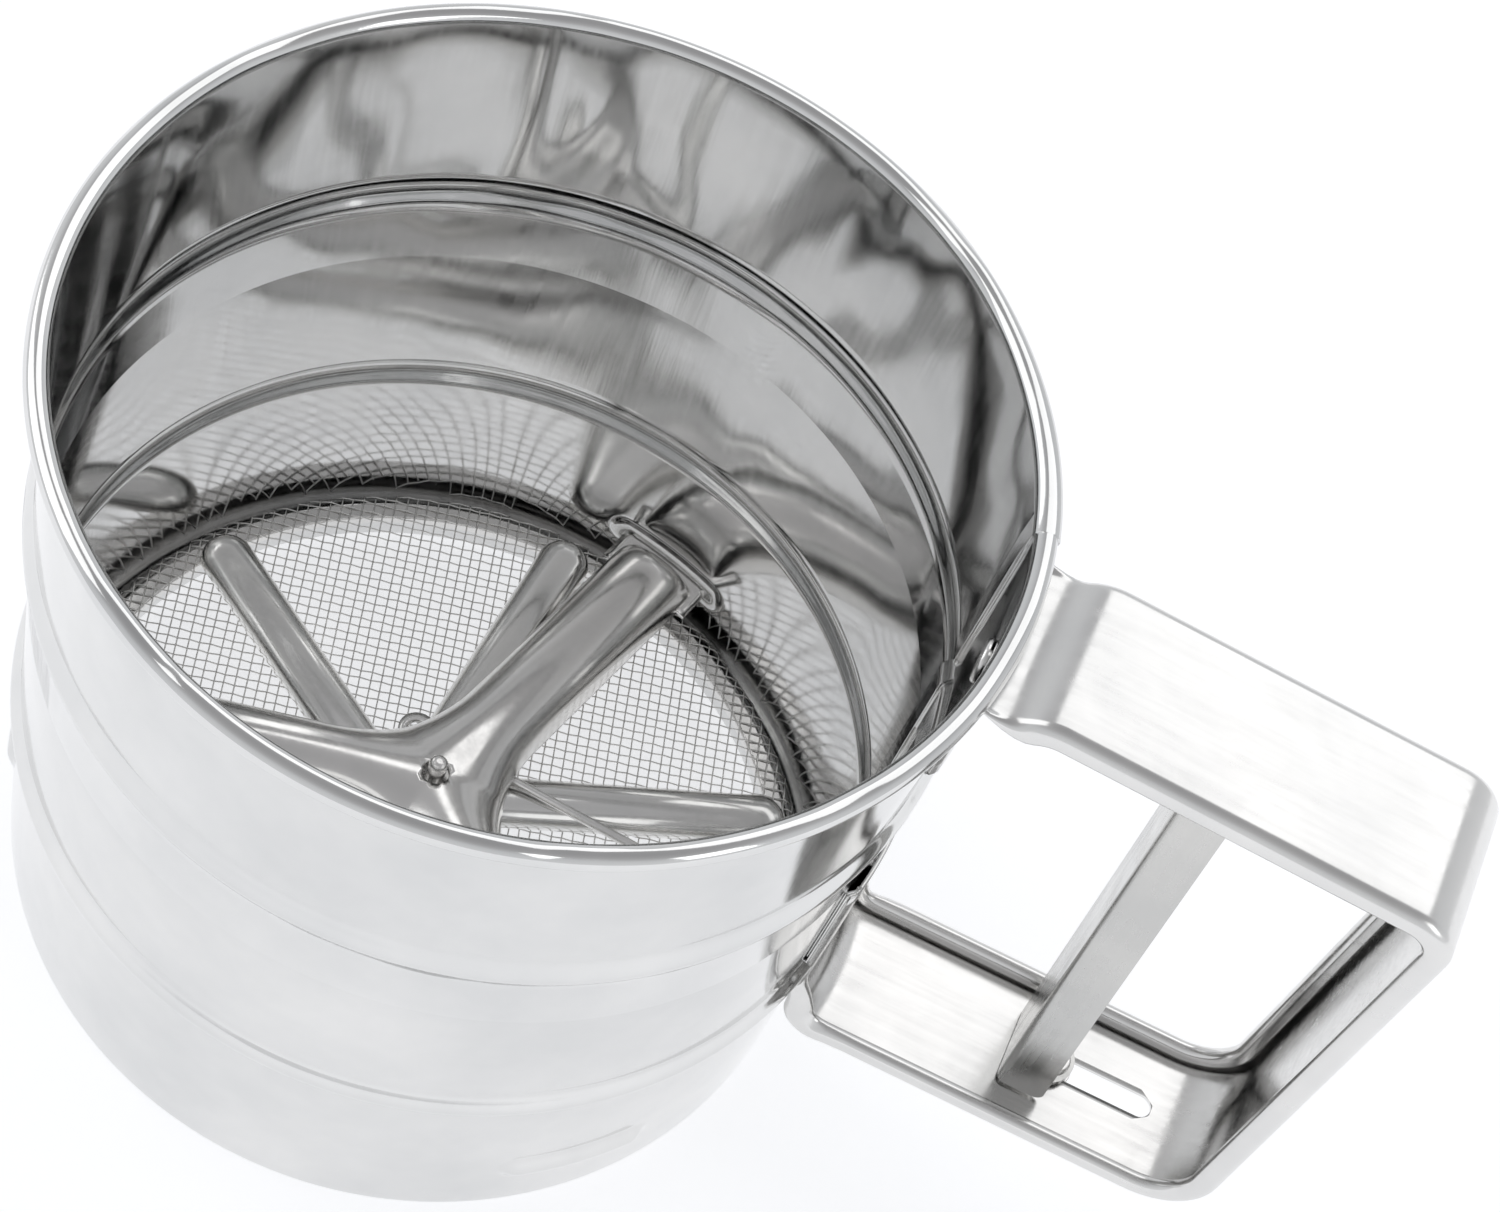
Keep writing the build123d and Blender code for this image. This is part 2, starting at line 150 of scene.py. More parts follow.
def steel(name, tint, rough, grain, wave=0.5, wave_scale=60, grain_scale=900, warm=0.01, ripple=None):
    """Bright sheet steel: rolling grain along one direction, faint waves, and uneven gloss.

    ripple = (height where it starts, height of full strength, depth) adds the long soft ripples
    that rolling leaves in a wall's upper band.
    """
    m = Nodes(name)
    patches = m.noise(35, detail=4, rough=0.6)
    dark = tuple(c * 0.90 for c in tint)
    light = (min(1, tint[0] * (1.04 + warm)), min(1, tint[1] * 1.04), min(1, tint[2] * (1.04 - warm)))
    m.link(m.ramp(patches, [(0.3, dark), (0.7, light)]), m.shader.inputs["Base Color"])
    m.shader.inputs["Metallic"].default_value = 1.0
    lines = m.noise(grain_scale, stretch=grain, detail=2, rough=0.7)
    smudge = m.noise(90, detail=5, rough=0.65, distortion=0.6)
    blend = m.add("ShaderNodeMath", operation="MULTIPLY")
    m.link(m.spread(lines, 0.8, 1.25), blend.inputs[0])
    m.link(m.spread(smudge, rough * 0.8, rough * 1.3), blend.inputs[1])
    m.link(blend.outputs[0], m.shader.inputs["Roughness"])
    waves = m.noise(wave_scale, stretch=(1, 1, 0.45), detail=1.5, rough=0.4)
    normal = m.bump(waves, wave, 0.6 * MM)
    if ripple:
        low, high, depth = ripple
        folds = m.noise(34, stretch=(1, 1, 0.5), detail=1, rough=0.3, distortion=0.8)
        band = m.add("ShaderNodeMapRange")
        band.inputs["From Min"].default_value, band.inputs["From Max"].default_value = low, high
        band.inputs["To Min"].default_value = 0.12
        m.link(m.height(), band.inputs["Value"])
        masked = m.add("ShaderNodeMath", operation="MULTIPLY")
        m.link(folds, masked.inputs[0])
        m.link(band.outputs["Result"], masked.inputs[1])
        normal = m.bump(masked.outputs[0], 1.0, depth, normal)
    normal = m.bump(lines, 0.16, 0.02 * MM, normal)
    m.link(normal, m.shader.inputs["Normal"])
    return m.material


CUP = steel(
    "cup_steel", (0.735, 0.74, 0.74), 0.085, (1, 1, 0.03), wave=0.35, ripple=(0.052, 0.066, 2.5 * MM),
)
HANDLE = steel("handle_steel", (0.75, 0.75, 0.745), 0.20, (0.05, 1, 1), wave=0.08)
TRIGGER = steel("trigger_steel", (0.60, 0.60, 0.59), 0.24, (1, 1, 0.03), wave=0.2)
BRIDGE = steel("bridge_steel", (0.84, 0.835, 0.825), 0.15, (1, 1, 1), wave=0.25)
AGITATOR = steel("agitator_steel", (0.88, 0.88, 0.87), 0.15, (1, 1, 1), wave=0.25)
RING = steel("ring_steel", (0.78, 0.775, 0.765), 0.18, (1, 1, 0.2), wave=0.15)
SIEVE = steel("sieve_wire", (0.80, 0.795, 0.78), 0.3, (1, 1, 1), wave=0.0)
WIRE = steel("rod_wire", (0.86, 0.855, 0.845), 0.24, (0.05, 1, 1), wave=0.1)
RIVET = steel("rivet_steel", (0.86, 0.855, 0.845), 0.24, (1, 1, 1), wave=0.2)

LOOKS = {
    "cup_shell": CUP, "mesh_screen": SIEVE, "mesh_ring": RING, "bridge": BRIDGE,
    "return_spring": WIRE, "handle": HANDLE, "handle_rivets": RIVET, "trigger": TRIGGER,
    "guide_stud": RIVET, "stud_washer": RIVET, "pull_rod": WIRE, "rod_retainer": RIVET,
    "agitator": AGITATOR, "pivot_pin": RIVET, "thrust_washer": RIVET,
}
for node, look in LOOKS.items():
    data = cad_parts[node].data
    data.materials.clear()
    data.materials.append(look)


# ---------------------------------------------------------------- mesh helpers
def new_piece(name, points, faces, look, body, slot, *replaced):
    """A smooth mesh piece in the model's frame that rides on a body and stands for CAD nodes."""
    data = bpy.data.meshes.new(name)
    data.from_pydata(points, [], faces)
    data.polygons.foreach_set("use_smooth", [True] * len(data.polygons))
    data.materials.append(look)
    data.update()
    piece = bpy.data.objects.new(name, data)
    bpy.context.scene.collection.objects.link(piece)
    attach(piece, body)
    if replaced:
        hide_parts(*replaced)
    return piece


def grid_faces(base, rows, columns, wrap_rows=False, wrap_columns=False):
    """Quads over points stored row by row from index base."""
    faces = []
    for i in range(rows if wrap_rows else rows - 1):
        for j in range(columns if wrap_columns else columns - 1):
            a, b = base + i * columns, base + (i + 1) % rows * columns
            k = (j + 1) % columns
            faces.append((a + j, a + k, b + k, b + j))
    return faces


def smooth(value, start=0.0, end=1.0):
    """0 below start, 1 above end, with an even slope between."""
    t = np.clip((np.asarray(value, float) - start) / (end - start), 0, 1)
    return t * t * (3 - 2 * t)


def arc_points(centre, radius, start, end, count):
    """Points on an arc in a profile, both ends included, angles in degrees."""
    angles = np.radians(np.linspace(start, end, count))
    return np.stack([centre[0] + radius * np.cos(angles), centre[1] + radius * np.sin(angles)], axis=1)


def line_points(start, end, count):
    """Points from start to end, the last one left out."""
    t = np.linspace(0, 1, count, endpoint=False)[:, None]
    return np.asarray(start) * (1 - t) + np.asarray(end) * t


def round_corners(corners, radii, spacing, turn_step=6.0):
    """Open path through corners with each inner corner rounded, as an array of points."""
    corners = [np.asarray(c, float) for c in corners]
    path = [corners[0]]
    for before, corner, after, radius in zip(corners, corners[1:], corners[2:], radii):
        into = (corner - before) / np.linalg.norm(corner - before)
        out = (after - corner) / np.linalg.norm(after - corner)
        turn = math.acos(np.clip(into @ out, -1, 1))
        reach = radius * math.tan(turn / 2)
        begin, finish = corner - into * reach, corner + out * reach
        inward = (out - into) / np.linalg.norm(out - into)
        centre = corner + inward * radius / math.cos(turn / 2)
        steps = max(3, int(math.degrees(turn) / turn_step))
        for t in np.linspace(0, 1, steps + 1):
            arm = (begin - centre) * math.sin((1 - t) * turn) + (finish - centre) * math.sin(t * turn)
            path.append(centre + arm / math.sin(turn))
    path.append(corners[-1])
    filled = [path[0]]
    for a, b in zip(path, path[1:]):
        count = max(1, int(np.linalg.norm(b - a) / spacing))
        filled.extend(a + (b - a) * k / count for k in range(1, count + 1))
    return np.array(filled)


def weld(piece):
    """Joins points that lie on each other, so that shading runs on across them."""
    work = bmesh.new()
    work.from_mesh(piece.data)
    bmesh.ops.remove_doubles(work, verts=work.verts, dist=0.005 * MM)
    work.to_mesh(piece.data)
    work.free()


def prism(name, outline, low, high):
    """Upright closed prism over an outline, for cutting with."""
    n = len(outline)
    points = [(x * MM, y * MM, z * MM) for z in (low, high) for x, y in outline]
    faces = [tuple(range(n))[::-1], tuple(range(n, 2 * n))]
    faces += [(i, (i + 1) % n, n + (i + 1) % n, n + i) for i in range(n)]
    data = bpy.data.meshes.new(name)
    data.from_pydata(points, [], faces)
    return bpy.data.objects.new(name, data)


def cut(piece, cutter):
    """Takes the cutter out of the piece and keeps the result as the piece's own mesh."""
    bpy.context.scene.collection.objects.link(cutter)
    modifier = piece.modifiers.new("opening", "BOOLEAN")
    modifier.operation = "DIFFERENCE"
    modifier.solver = "EXACT"
    modifier.object = cutter
    shaped = bpy.data.meshes.new_from_object(piece.evaluated_get(bpy.context.evaluated_depsgraph_get()))
    piece.modifiers.clear()
    piece.data = shaped
    bpy.data.objects.remove(cutter)


def spin(x, y, angle):
    """Coordinates turned about the axis by an angle in radians."""
    return x * math.cos(angle) - y * math.sin(angle), x * math.sin(angle) + y * math.cos(angle)


def long_hole(start, end, side, radius):
    """Outline of a slot whose round ends have their centres at start and end along it."""
    return np.concatenate([
        arc_points((end, side), radius, -90, 90, 13), arc_points((start, side), radius, 90, 270, 13),
    ])


def thicken(piece, thickness):
    """Gives a sheet piece its thickness on the side away from its normals."""
    modifier = piece.modifiers.new("sheet", "SOLIDIFY")
    modifier.thickness = thickness
    modifier.offset = -1
    modifier.use_even_offset = False


# ---------------------------------------------------------------- cup
SHEET = 0.5
CUP_HEIGHT = 92.99
FOOT_RADIUS, MOUTH_RADIUS = 48.7, 51.8
RIM_ROLL = 1.32
BEADS = (29.9, 63.8)
BEAD_RISE, BEAD_HALF = 1.1, 2.4
FOOT_CURL, FOOT_INNER_CURL = 2.2, 1.5
LIP_RADIUS, LIP_TOP = 44.4, 4.4
SEAM_ANGLE = 14.7
DIMPLE_ANGLES = (75, 195, 315)
DIMPLE_Z, DIMPLE_RISE, DIMPLE_HALF, DIMPLE_ROLL = 11.0, 0.98, 8.0, 2.5
SEAM_LOW, SEAM_HIGH, SEAM_HALF, SEAM_DEPTH = 7.0, 90.5, 1.75, 0.42
SEAM_LINE, SEAM_LINE_DEPTH = 1.6, 0.14
LAP_STEP, LAP_ANGLE, LAP_FADE = 0.26, 13.1, 50


def wall_radius(z):
    """Outer radius of the tapered wall at a height, without its beads."""
    return FOOT_RADIUS + (MOUTH_RADIUS - FOOT_RADIUS) * z / CUP_HEIGHT


def cup_skin(inset):
    """One face of the cup's sheet as (radius, height), and where on it the rolled rim starts."""
    foot = wall_radius(FOOT_CURL)
    parts = [
        line_points((LIP_RADIUS + inset, LIP_TOP), (LIP_RADIUS + inset, FOOT_INNER_CURL), 4),
        arc_points((LIP_RADIUS + FOOT_INNER_CURL, FOOT_INNER_CURL), FOOT_INNER_CURL - inset, 180, 270, 8),
        arc_points((foot - FOOT_CURL, FOOT_CURL), FOOT_CURL - inset, -90, 0, 10),
    ]
    heights = np.concatenate([
        np.arange(3.0, 7.5, 1.5), np.arange(7.5, 15.0, 0.4), np.arange(15.0, 27.4, 2.0),
        np.arange(27.5, 32.4, 0.3), np.arange(33.0, 61.3, 3.0), np.arange(61.4, 66.3, 0.3),
        np.arange(67.0, 91.0, 3.0),
    ])
    rise = np.zeros(len(heights))
    for z in BEADS:
        rise += BEAD_RISE * (1 - np.clip(np.abs(heights - z) / BEAD_HALF, 0, 1) ** 2) ** 1.6
    parts.append(np.stack([wall_radius(heights) - inset + rise, heights], axis=1))
    centre_z = CUP_HEIGHT - RIM_ROLL
    centre = (wall_radius(centre_z) + RIM_ROLL - SHEET, centre_z)
    roll = arc_points(centre, RIM_ROLL - SHEET + inset, 180, -75, 30)
    start = sum(len(p) for p in parts)
    return np.concatenate([*parts, roll]), start


def cup_mesh():
    """Lathe of the cup's sheet with its dimples, its folded seam and the lapped end of its rolled rim."""
    fine = [np.arange(a - 12, a + 12, 0.5) for a in DIMPLE_ANGLES]
    angles = np.concatenate([np.arange(0, 360, 1.0), *fine, np.arange(11.5, 18, 0.15), [13.04, 13.1]])
    angles = np.unique(np.round(angles % 360, 3))
    points = []
    outer, start = cup_skin(0)
    inner, _ = cup_skin(SHEET)
    profile = np.concatenate([outer, inner[::-1]])
    count = len(outer)
    is_inner = np.arange(len(profile)) >= count
    on_roll = (np.arange(len(profile)) >= start) & (np.arange(len(profile)) < 2 * count - start)
    centre_z = CUP_HEIGHT - RIM_ROLL
    centre = np.array([wall_radius(centre_z) + RIM_ROLL - SHEET, centre_z])
    for angle in angles:
        ring = profile.copy()
        for at in DIMPLE_ANGLES:
            turn = (angle - at + 180) % 360 - 180
            along = max(abs(turn) - DIMPLE_HALF, 0) * math.radians(1) * FOOT_RADIUS
            away = np.hypot(along, ring[:, 1] - DIMPLE_Z)
            on_side = ring[:, 0] > FOOT_RADIUS - 1.2
            ring[:, 0] += DIMPLE_RISE * (1 - np.clip(away / DIMPLE_ROLL, 0, 1) ** 2) ** 2 * on_side
        turn = (angle - SEAM_ANGLE + 180) % 360 - 180
        seam = smooth(SEAM_HALF - abs(turn), 0, 0.14)
        line = smooth(0.35 - abs(turn + SEAM_LINE), 0, 0.3)
        on_wall = (ring[:, 1] > SEAM_LOW) & (ring[:, 1] < SEAM_HIGH) & ~on_roll
        ring[:, 0] -= SEAM_DEPTH * seam * (on_wall & is_inner)
        ring[:, 0] -= SEAM_LINE_DEPTH * line * (on_wall & ~is_inner)
        in_lap = LAP_ANGLE <= angle < LAP_FADE
        lap = LAP_STEP * (1 - smooth(angle, LAP_ANGLE, LAP_FADE)) if in_lap else 0
        away = (ring - centre) / RIM_ROLL
        ring[:, 0] += lap * away[:, 0] * on_roll
        ring[:, 1] += lap * np.minimum(away[:, 1], 0) * on_roll
        turned = math.radians(angle)
        x, y = ring[:, 0] * math.cos(turned), ring[:, 0] * math.sin(turned)
        points.append(np.stack([x, y, ring[:, 1]], axis=1))
    flat = np.concatenate(points) * MM
    return flat.tolist(), grid_faces(0, len(angles), len(profile), wrap_rows=True, wrap_columns=True)


points, faces = cup_mesh()
new_piece("cup_wall", points, faces, CUP, "cup", "cup_steel", "cup_shell")


# ---------------------------------------------------------------- bridge
BRIDGE_SHEET = 0.6
ARM_HALF, ARM_LENGTH, ARM_FILLET = 4.9, 46.2, 19.0
ARM_LOW, ARM_HIGH = 10.7, 16.25
ARM_ROUND = 2.15
ARM_END = 4.6
HUB_HOLE, HUB_DIP, HUB_DIP_REACH = 1.65, 0.35, 7.0
FOOT_HALF, FOOT_START, FOOT_END = 6.65, 43.0, 48.35
FOOT_LIFT, FOOT_RISE, FOOT_DROP = 0.6, 0.5, 0.35


def bridge_mesh():
    """Pressed bridge: each third of it runs out along one arm's spine and back along the next."""
    points, faces = [], []
    lean = math.radians(60)
    along = np.array([math.cos(lean), math.sin(lean)])
    beside = np.array([math.sin(lean), -math.cos(lean)])
    tangent = (ARM_HALF + ARM_FILLET) / math.tan(lean)
    centre = np.array([(ARM_HALF + ARM_FILLET) / math.sin(lean), 0])
    stations = []
    end_start = ARM_LENGTH - ARM_END
    ends = end_start + ARM_END * np.sin(np.radians(np.linspace(90, 0, 10, endpoint=False)))
    for s in [*ends, *np.linspace(end_start, tangent, 22, endpoint=False)]:
        stations.append((along * s, along * s + beside * ARM_HALF, s))
    for t in np.linspace(0, 1, 16):
        angle = math.radians(180 - 30 * (1 - t))
        edge = centre + ARM_FILLET * np.array([math.cos(angle), math.sin(angle)])
        stations.append((along * tangent * (1 - t), edge, tangent * (1 - t)))
    for spine, edge, s in stations[-2::-1]:
        stations.append((spine * [1, -1], edge * [1, -1], s))
    steps = np.radians(np.linspace(0, 90, 17))
    across, up = np.sin(steps) ** (2 / ARM_ROUND), np.cos(steps) ** (2 / ARM_ROUND)
    for arm in DIMPLE_ANGLES:
        turn = np.array(spin(*np.eye(2), math.radians(arm + 60)))
        base = len(points)
        for spine, edge, s in stations:
            past = np.clip((s - end_start) / ARM_END, 0, 1)
            height = (ARM_HIGH - ARM_LOW) * math.sqrt(1 - past**2 * 0.999)
            flat = (spine + (edge - spine) * across[:, None]) @ turn.T
            dip = HUB_DIP * math.exp(-((s / HUB_DIP_REACH) ** 2))
            z = ARM_LOW + height * up - dip * up
            points.extend(np.column_stack([flat, z]).tolist())
        faces.extend(grid_faces(base, len(stations), len(steps)))
    return (np.array(points) * MM).tolist(), faces


def foot_mesh():
    """Flat feet at the ends of the bridge's arms, which reach into the wall's dimples."""
    points, faces = [], []
    sides = np.linspace(-FOOT_HALF, FOOT_HALF, 13)
    for arm in DIMPLE_ANGLES:
        base = len(points)
        for t in np.linspace(0, 1, 7):
            for side in sides:
                reach = FOOT_START + (math.sqrt(FOOT_END**2 - side**2) - FOOT_START) * t
                z = ARM_LOW + FOOT_LIFT + FOOT_RISE * smooth(t, 0.25, 0.9)
                z -= FOOT_DROP * smooth(abs(side), FOOT_HALF - 1.25, FOOT_HALF)
                points.append((*spin(reach, side, math.radians(arm)), float(z)))
        faces.extend(grid_faces(base, 7, len(sides)))
    return (np.array(points) * MM).tolist(), faces


points, faces = bridge_mesh()
bridge = new_piece("bridge_pressing", points, faces, BRIDGE, "cup", "bridge_steel", "bridge")
weld(bridge)
points, faces = foot_mesh()
feet = new_piece("bridge_feet", points, [f[::-1] for f in faces], BRIDGE, "cup", "bridge_steel")
thicken(bridge, BRIDGE_SHEET * MM)
cut(bridge, prism("pin_hole_cutter", arc_points((0, 0), HUB_HOLE, 0, 345, 24), 14.0, 18.0))
thicken(feet, BRIDGE_SHEET * MM)


# ---------------------------------------------------------------- agitator
FINGER_ANGLES = (25.5, 86.5, 147.5, 205.5, 266.5, 327.5)
FINGER_OFFSET, FINGER_HALF, FINGER_REACH = 2.2, 3.4, 45.5
FINGER_LOW, FINGER_HIGH, FINGER_ROUND = 6.2, 8.85, 0.93
HUB_RADIUS, HUB_EDGE = 8.5, 1.6
PIN_HOLE = 1.18
CRANK_ANGLE = math.degrees(math.atan2(8.4, -4.9))
EAR_SLOT, EAR_SIDE, EAR_RIM = (7.5, 11.68), 1.2, 1.2
EAR_LOW, EAR_HIGH = 8.3, 8.75


def agitator_mesh():
    """Six pressed fingers set beside the axis, and the round hub that joins them."""
    points, faces = [], []
    bend = np.radians(np.linspace(-90, 90, 23))
    across = np.sign(np.sin(bend)) * np.abs(np.sin(bend)) ** FINGER_ROUND
    up = np.cos(bend) ** FINGER_ROUND
    tip = FINGER_REACH - FINGER_HALF
    dome = tip + FINGER_HALF * np.sin(np.radians(np.linspace(0, 90, 12)))
    ends = np.concatenate([np.linspace(0, tip, 12, endpoint=False), dome])
    for angle in FINGER_ANGLES:
        base = len(points)
        for s in ends:
            shrink = math.sqrt(max(1 - ((s - tip) / FINGER_HALF) ** 2, 0.0004)) if s > tip else 1
            y = FINGER_OFFSET + FINGER_HALF * shrink * across
            z = FINGER_LOW + (FINGER_HIGH - FINGER_LOW) * shrink**0.8 * up
            points.extend(np.column_stack([*spin(s, y, math.radians(angle)), z]).tolist())
        faces.extend(grid_faces(base, len(ends), len(bend)))
    base = len(points)
    rise = np.radians(np.linspace(90, 0, 10))
    flat_radius, flat_height = HUB_RADIUS - HUB_EDGE, FINGER_HIGH - HUB_EDGE
    edge = [(flat_radius + HUB_EDGE * math.sin(a), flat_height + HUB_EDGE * math.cos(a)) for a in rise]
    rings = [(HUB_RADIUS, FINGER_LOW), *edge, (PIN_HOLE, FINGER_HIGH)]
    spokes = np.radians(np.arange(0, 360, 6))
    for radius, z in rings:
        x, y = radius * np.cos(spokes), radius * np.sin(spokes)
        points.extend(np.column_stack([x, y, np.full(len(spokes), z)]).tolist())
    faces.extend(grid_faces(base, len(rings), len(spokes), wrap_columns=True))
    return (np.array(points) * MM).tolist(), faces


def ear_mesh():
    """Crank ear on the hub: a flat loop round the slot in which the rod's bent end runs."""
    start, end = EAR_SLOT[0] + EAR_SIDE, EAR_SLOT[1] - EAR_SIDE
    wide = EAR_SIDE + EAR_RIM
    rows = []
    for side, z in ((EAR_SIDE, EAR_HIGH), (wide, EAR_HIGH), (wide, EAR_LOW), (EAR_SIDE, EAR_LOW)):
        loop = long_hole(start, end, 0, side)
        x, y = spin(loop[:, 0], loop[:, 1], math.radians(CRANK_ANGLE))
        rows.append(np.column_stack([x, y, np.full(len(loop), z)]))
    points = np.concatenate(rows) * MM
    return points.tolist(), grid_faces(0, len(rows), len(rows[0]), wrap_rows=True, wrap_columns=True)


points, faces = agitator_mesh()
faces = [f[::-1] for f in faces]
new_piece("agitator_pressing", points, faces, AGITATOR, "agitator", "agitator_steel", "agitator")
points, faces = ear_mesh()
new_piece("crank_ear", points, faces, AGITATOR, "agitator", "agitator_steel")


# ---------------------------------------------------------------- handle
HANDLE_HALF, HANDLE_EDGE, HANDLE_SHEET = 10.6, 1.5, 0.5
HEM_DEPTH, HEM_WIDTH, HEM_START = 3.2, 2.0, 1.15
HEM_ON_TAB = 0.12
LOW_HEM_STARTS, HIGH_HEM_STARTS = (21, 27.5), (14.2, 18.5)
LOWER_TAB, UPPER_TAB = (16, 48), (76, 90)
TAB_GAP, TAB_TURN_IN, TAB_BLEND = 0.7, 0.6, (53.2, 56.5)
GRIP_LOW, GRIP_HIGH = (102.58, 16), (106.97, 90)
JOGGLE = ((59.2, 92.55), (55.6, 90.0))
HANDLE_BENDS = (5.0, 9, 6, 7, 6, 1.0)
SLOT_ENDS, SLOT_SIDE, SLOT_HALF = (80.8, 92.5), 0.8, 1.5


def hem_profile():
    """Half of the strip's section as (across, inward) from the middle to the end of the folded leg."""
    inner = HANDLE_HALF - HEM_WIDTH
    reach = HEM_WIDTH / 2
    parts = [
        line_points((0, 0), (HANDLE_HALF - HANDLE_EDGE, 0), 6),
        arc_points((HANDLE_HALF - HANDLE_EDGE, HANDLE_EDGE), HANDLE_EDGE, -90, 0, 9),
        arc_points((inner + reach, HEM_DEPTH - reach), reach, 0, 180, 13),
        line_points((inner, HEM_DEPTH - reach - 0.3), (inner, HEM_START), 3),
        np.array([(inner, HEM_START)]),
    ]
    return np.concatenate(parts)


def handle_mesh():
    """The strip swept from its lower tab round the grip to its upper tab."""
    tab_corners = [(wall_radius(z) + TAB_GAP, z) for z in (*LOWER_TAB[::-1], *UPPER_TAB[::-1])]
    corners = [*tab_corners[:2], GRIP_LOW, GRIP_HIGH, *JOGGLE, *tab_corners[2:]]
    path = round_corners(corners, HANDLE_BENDS, 2.0)
    step = np.gradient(path, axis=0)
    step /= np.linalg.norm(step, axis=1)[:, None]
    inward = np.stack([-step[:, 1], step[:, 0]], axis=1)
    travelled = np.concatenate([[0], np.cumsum(np.linalg.norm(np.diff(path, axis=0), axis=1))])
    half = hem_profile()
    section = np.concatenate([half[::-1] * [-1, 1], half[1:]])
    across = section[:, 0]
    edge = smooth(np.abs(across), HANDLE_HALF - 1.2, HANDLE_HALF - 0.2)
    points = []
    for (x, z), normal, s in zip(path, inward, travelled):
        hem = smooth(s, *LOW_HEM_STARTS) * smooth(travelled[-1] - s, *HIGH_HEM_STARTS)
        on_tab = 1 - smooth(x, *TAB_BLEND)
        depth = section[:, 1] * np.where(section[:, 1] > 0, HEM_ON_TAB + (1 - HEM_ON_TAB) * hem, 1)
        depth -= TAB_TURN_IN * on_tab * edge
        wrap = (x - np.sqrt(np.maximum(x**2 - across**2, 0))) * on_tab
        row = [x + normal[0] * depth - wrap, across, z + normal[1] * depth]
        points.extend(np.column_stack(row).tolist())
    return (np.array(points) * MM).tolist(), grid_faces(0, len(path), len(section))


points, faces = handle_mesh()
handle = new_piece("handle_strip", points, faces, HANDLE, "cup", "handle_steel", "handle")
thicken(handle, HANDLE_SHEET * MM)
cut(handle, prism("slot_cutter", long_hole(*SLOT_ENDS, SLOT_SIDE, SLOT_HALF), 14.0, 18.0))


# ---------------------------------------------------------------- sieve cloth
SIEVE_TOP = 5.8 * MM
CLOTH_RADIUS = 47.7 * MM
CLOTH_BEND = 46.3 * MM
CLOTH_TURN = math.radians(15.5)
CLOTH_PITCH = (1.25 * MM, 1.34 * MM)
CLOTH_WIRE = 0.105 * MM
CLOTH_SIDES = 5
CLOTH_SAMPLES = 2
CLOTH_DRIFT, CLOTH_SWAY = 0.035 * MM, 0.05 * MM
CLOTH_DROP = 0.65 / MM


def woven_cloth():
    """Plain weave: each wire passes over and under the wires of the other direction."""
    rng = np.random.default_rng(5)
    points, faces = [], []
    middle = SIEVE_TOP - 2.2 * CLOTH_WIRE
    turn = np.array(spin(*np.eye(2), CLOTH_TURN))
    for way in (0, 1):
        across, along = CLOTH_PITCH[way], CLOTH_PITCH[1 - way]
        count = int(CLOTH_RADIUS / across)
        for i in range(-count, count + 1):
            offset = i * across
            half = math.sqrt(max(CLOTH_RADIUS**2 - offset**2, 0))
            steps = int(half / along)
            if steps < 2:
                continue
            drift = rng.normal(0, CLOTH_DRIFT)
            sway = rng.normal(0, CLOTH_SWAY)
            ticks = np.arange(-steps * CLOTH_SAMPLES, steps * CLOTH_SAMPLES + 1) / CLOTH_SAMPLES
            s = ticks * along
            side = offset + drift + sway * np.sin(s / CLOTH_RADIUS * 2.5 + i)
            lift = CLOTH_WIRE * np.cos(math.pi * (ticks + i + way)) * 1.02
            pair = np.stack([s, side] if way == 0 else [side, s], axis=1) @ turn.T
            sideways = turn @ np.array([0, 1] if way == 0 else [1, 0])
            drop = CLOTH_DROP * np.maximum(np.hypot(*pair.T) - CLOTH_BEND, 0) ** 2
            base = len(points)
            for k in range(CLOTH_SIDES):
                angle = 2 * math.pi * k / CLOTH_SIDES
                ring = np.empty((len(s), 3))
                ring[:, :2] = pair + sideways * CLOTH_WIRE * math.cos(angle)
                ring[:, 2] = middle + lift - drop + CLOTH_WIRE * math.sin(angle)
                points.extend(map(tuple, ring))
            n = len(s)
            for k in range(CLOTH_SIDES):
                a, b = base + k * n, base + (k + 1) % CLOTH_SIDES * n
                faces.extend((a + j, a + j + 1, b + j + 1, b + j) for j in range(n - 1))
    return points, faces


points, faces = woven_cloth()
new_piece("mesh_cloth", points, faces, SIEVE, "cup", "sieve_wire", "mesh_screen")


# ---------------------------------------------------------------- stage and light
FLOOR_HALF = 3.0


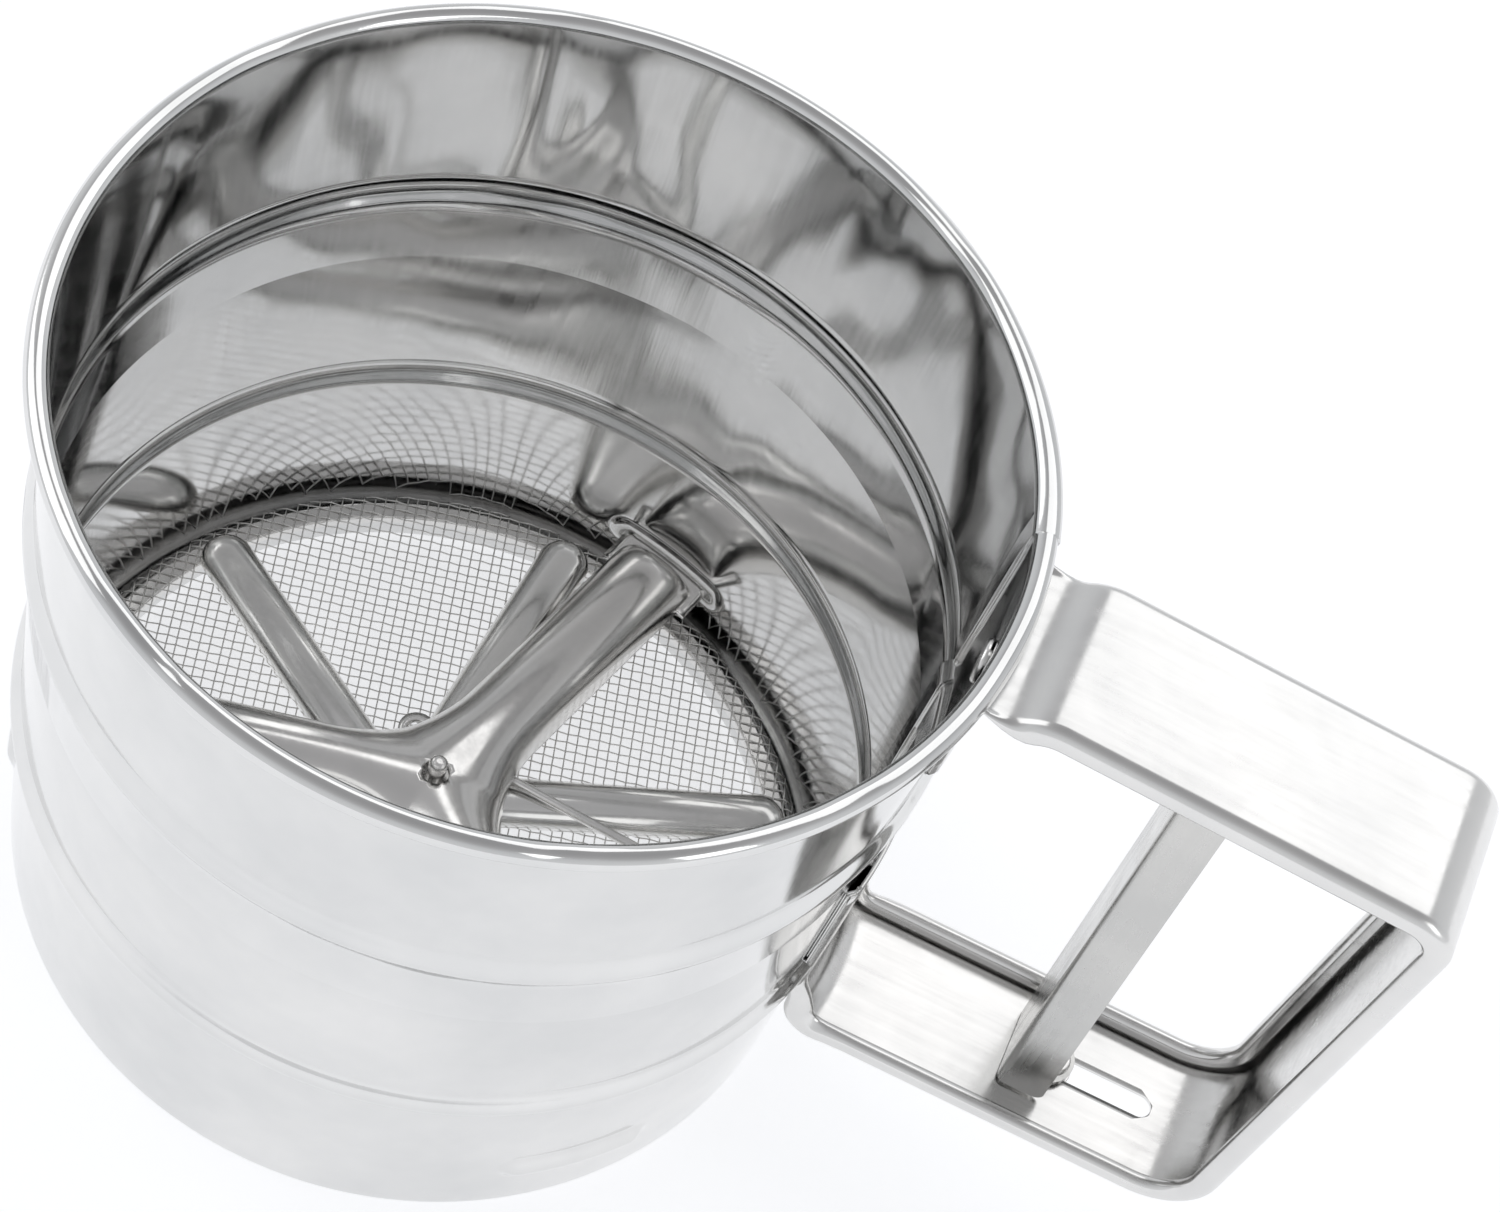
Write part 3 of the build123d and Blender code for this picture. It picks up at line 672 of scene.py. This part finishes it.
def make_floor():
    """Pale paper that glows a little, so that the sieve shows bright above it."""
    data = bpy.data.meshes.new("floor")
    corners = [(x * FLOOR_HALF, y * FLOOR_HALF, 0) for x, y in ((-1, -1), (1, -1), (1, 1), (-1, 1))]
    data.from_pydata(corners, [], [(0, 1, 2, 3)])
    floor = bpy.data.objects.new("floor", data)
    bpy.context.scene.collection.objects.link(floor)
    m = Nodes("floor_paper")
    m.shader.inputs["Base Color"].default_value = (0.5, 0.5, 0.505, 1)
    m.shader.inputs["Roughness"].default_value = 0.9
    m.shader.inputs["Emission Color"].default_value = (0.97, 0.98, 1.0, 1)
    m.shader.inputs["Emission Strength"].default_value = 0.69
    data.materials.append(m.material)


def make_world():
    """Studio surroundings: bright near the floor, a little darker overhead."""
    world = bpy.data.worlds.new("studio")
    world.use_nodes = True
    bpy.context.scene.world = world
    tree = world.node_tree
    coords = tree.nodes.new("ShaderNodeTexCoord")
    split = tree.nodes.new("ShaderNodeSeparateXYZ")
    ramp = tree.nodes.new("ShaderNodeValToRGB")
    elements = ramp.color_ramp.elements
    elements[0].position, elements[0].color = 0.0, (0.92, 0.93, 0.95, 1)
    elements[1].position, elements[1].color = 1.0, (0.45, 0.45, 0.46, 1)
    middle = elements.new(0.5)
    middle.color = (0.80, 0.81, 0.83, 1)
    shade = elements.new(0.8)
    shade.color = (0.56, 0.56, 0.57, 1)
    tree.links.new(coords.outputs["Generated"], split.inputs[0])
    tree.links.new(split.outputs["Z"], ramp.inputs["Fac"])
    background = tree.nodes["Background"]
    tree.links.new(ramp.outputs["Color"], background.inputs["Color"])
    background.inputs["Strength"].default_value = 0.85


def area_light(name, place, towards, size, power):
    """Rectangular softbox aimed at a point."""
    data = bpy.data.lights.new(name, "AREA")
    data.shape = "RECTANGLE"
    data.size, data.size_y = size
    data.energy = power
    light = bpy.data.objects.new(name, data)
    bpy.context.scene.collection.objects.link(light)
    aim = Vector(towards) - Vector(place)
    light.matrix_world = Matrix.Translation(place) @ aim.to_track_quat("-Z", "Y").to_matrix().to_4x4()


make_floor()
make_world()
area_light("softbox_left", (-1.2, 0.1, 1.0), (0, 0, 0.04), (1.0, 1.2), 3.6)
area_light("softbox_back", (0.25, 1.1, 1.45), (0.05, 0, 0.05), (1.6, 0.9), 4.2)
area_light("softbox_right", (1.3, -0.7, 0.9), (0.05, 0, 0.04), (0.6, 0.9), 2.2)

bpy.context.scene.view_settings.view_transform = "Standard"
